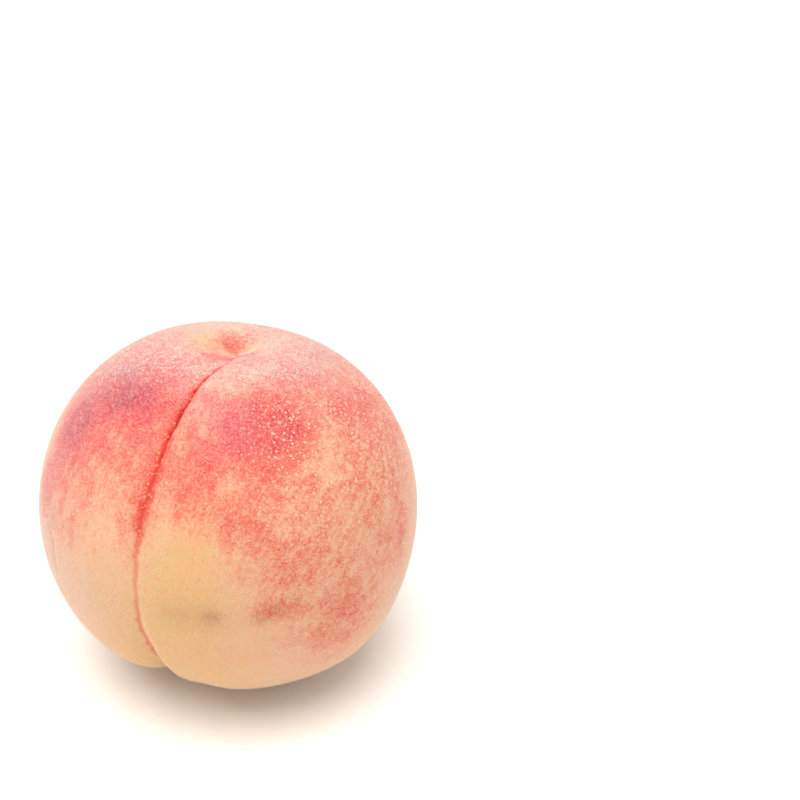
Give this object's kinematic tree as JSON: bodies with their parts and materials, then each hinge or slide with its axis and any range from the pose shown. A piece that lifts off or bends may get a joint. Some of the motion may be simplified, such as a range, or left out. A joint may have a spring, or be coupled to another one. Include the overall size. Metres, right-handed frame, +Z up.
{
  "type": "peach",
  "caption": "Whole ripe peach, round with a suture groove down one side, a sunken stem basin and a small flat resting spot.",
  "frame": {"origin": "under the middle of the fruit, on the surface that it rests on", "axes": "+Z up towards the stem end, which leans back by about 19 degrees and a little towards +X; -Y is the front, and the suture runs down the front, turned about 25 degrees towards -X"},
  "size_m": [0.0798, 0.0808, 0.0717],
  "materials": {
    "skin": "soft matt skin with fine fuzz, cream to rose red"
  },
  "bodies": {
    "root": {"peach": "skin"}
  },
  "joints": []
}
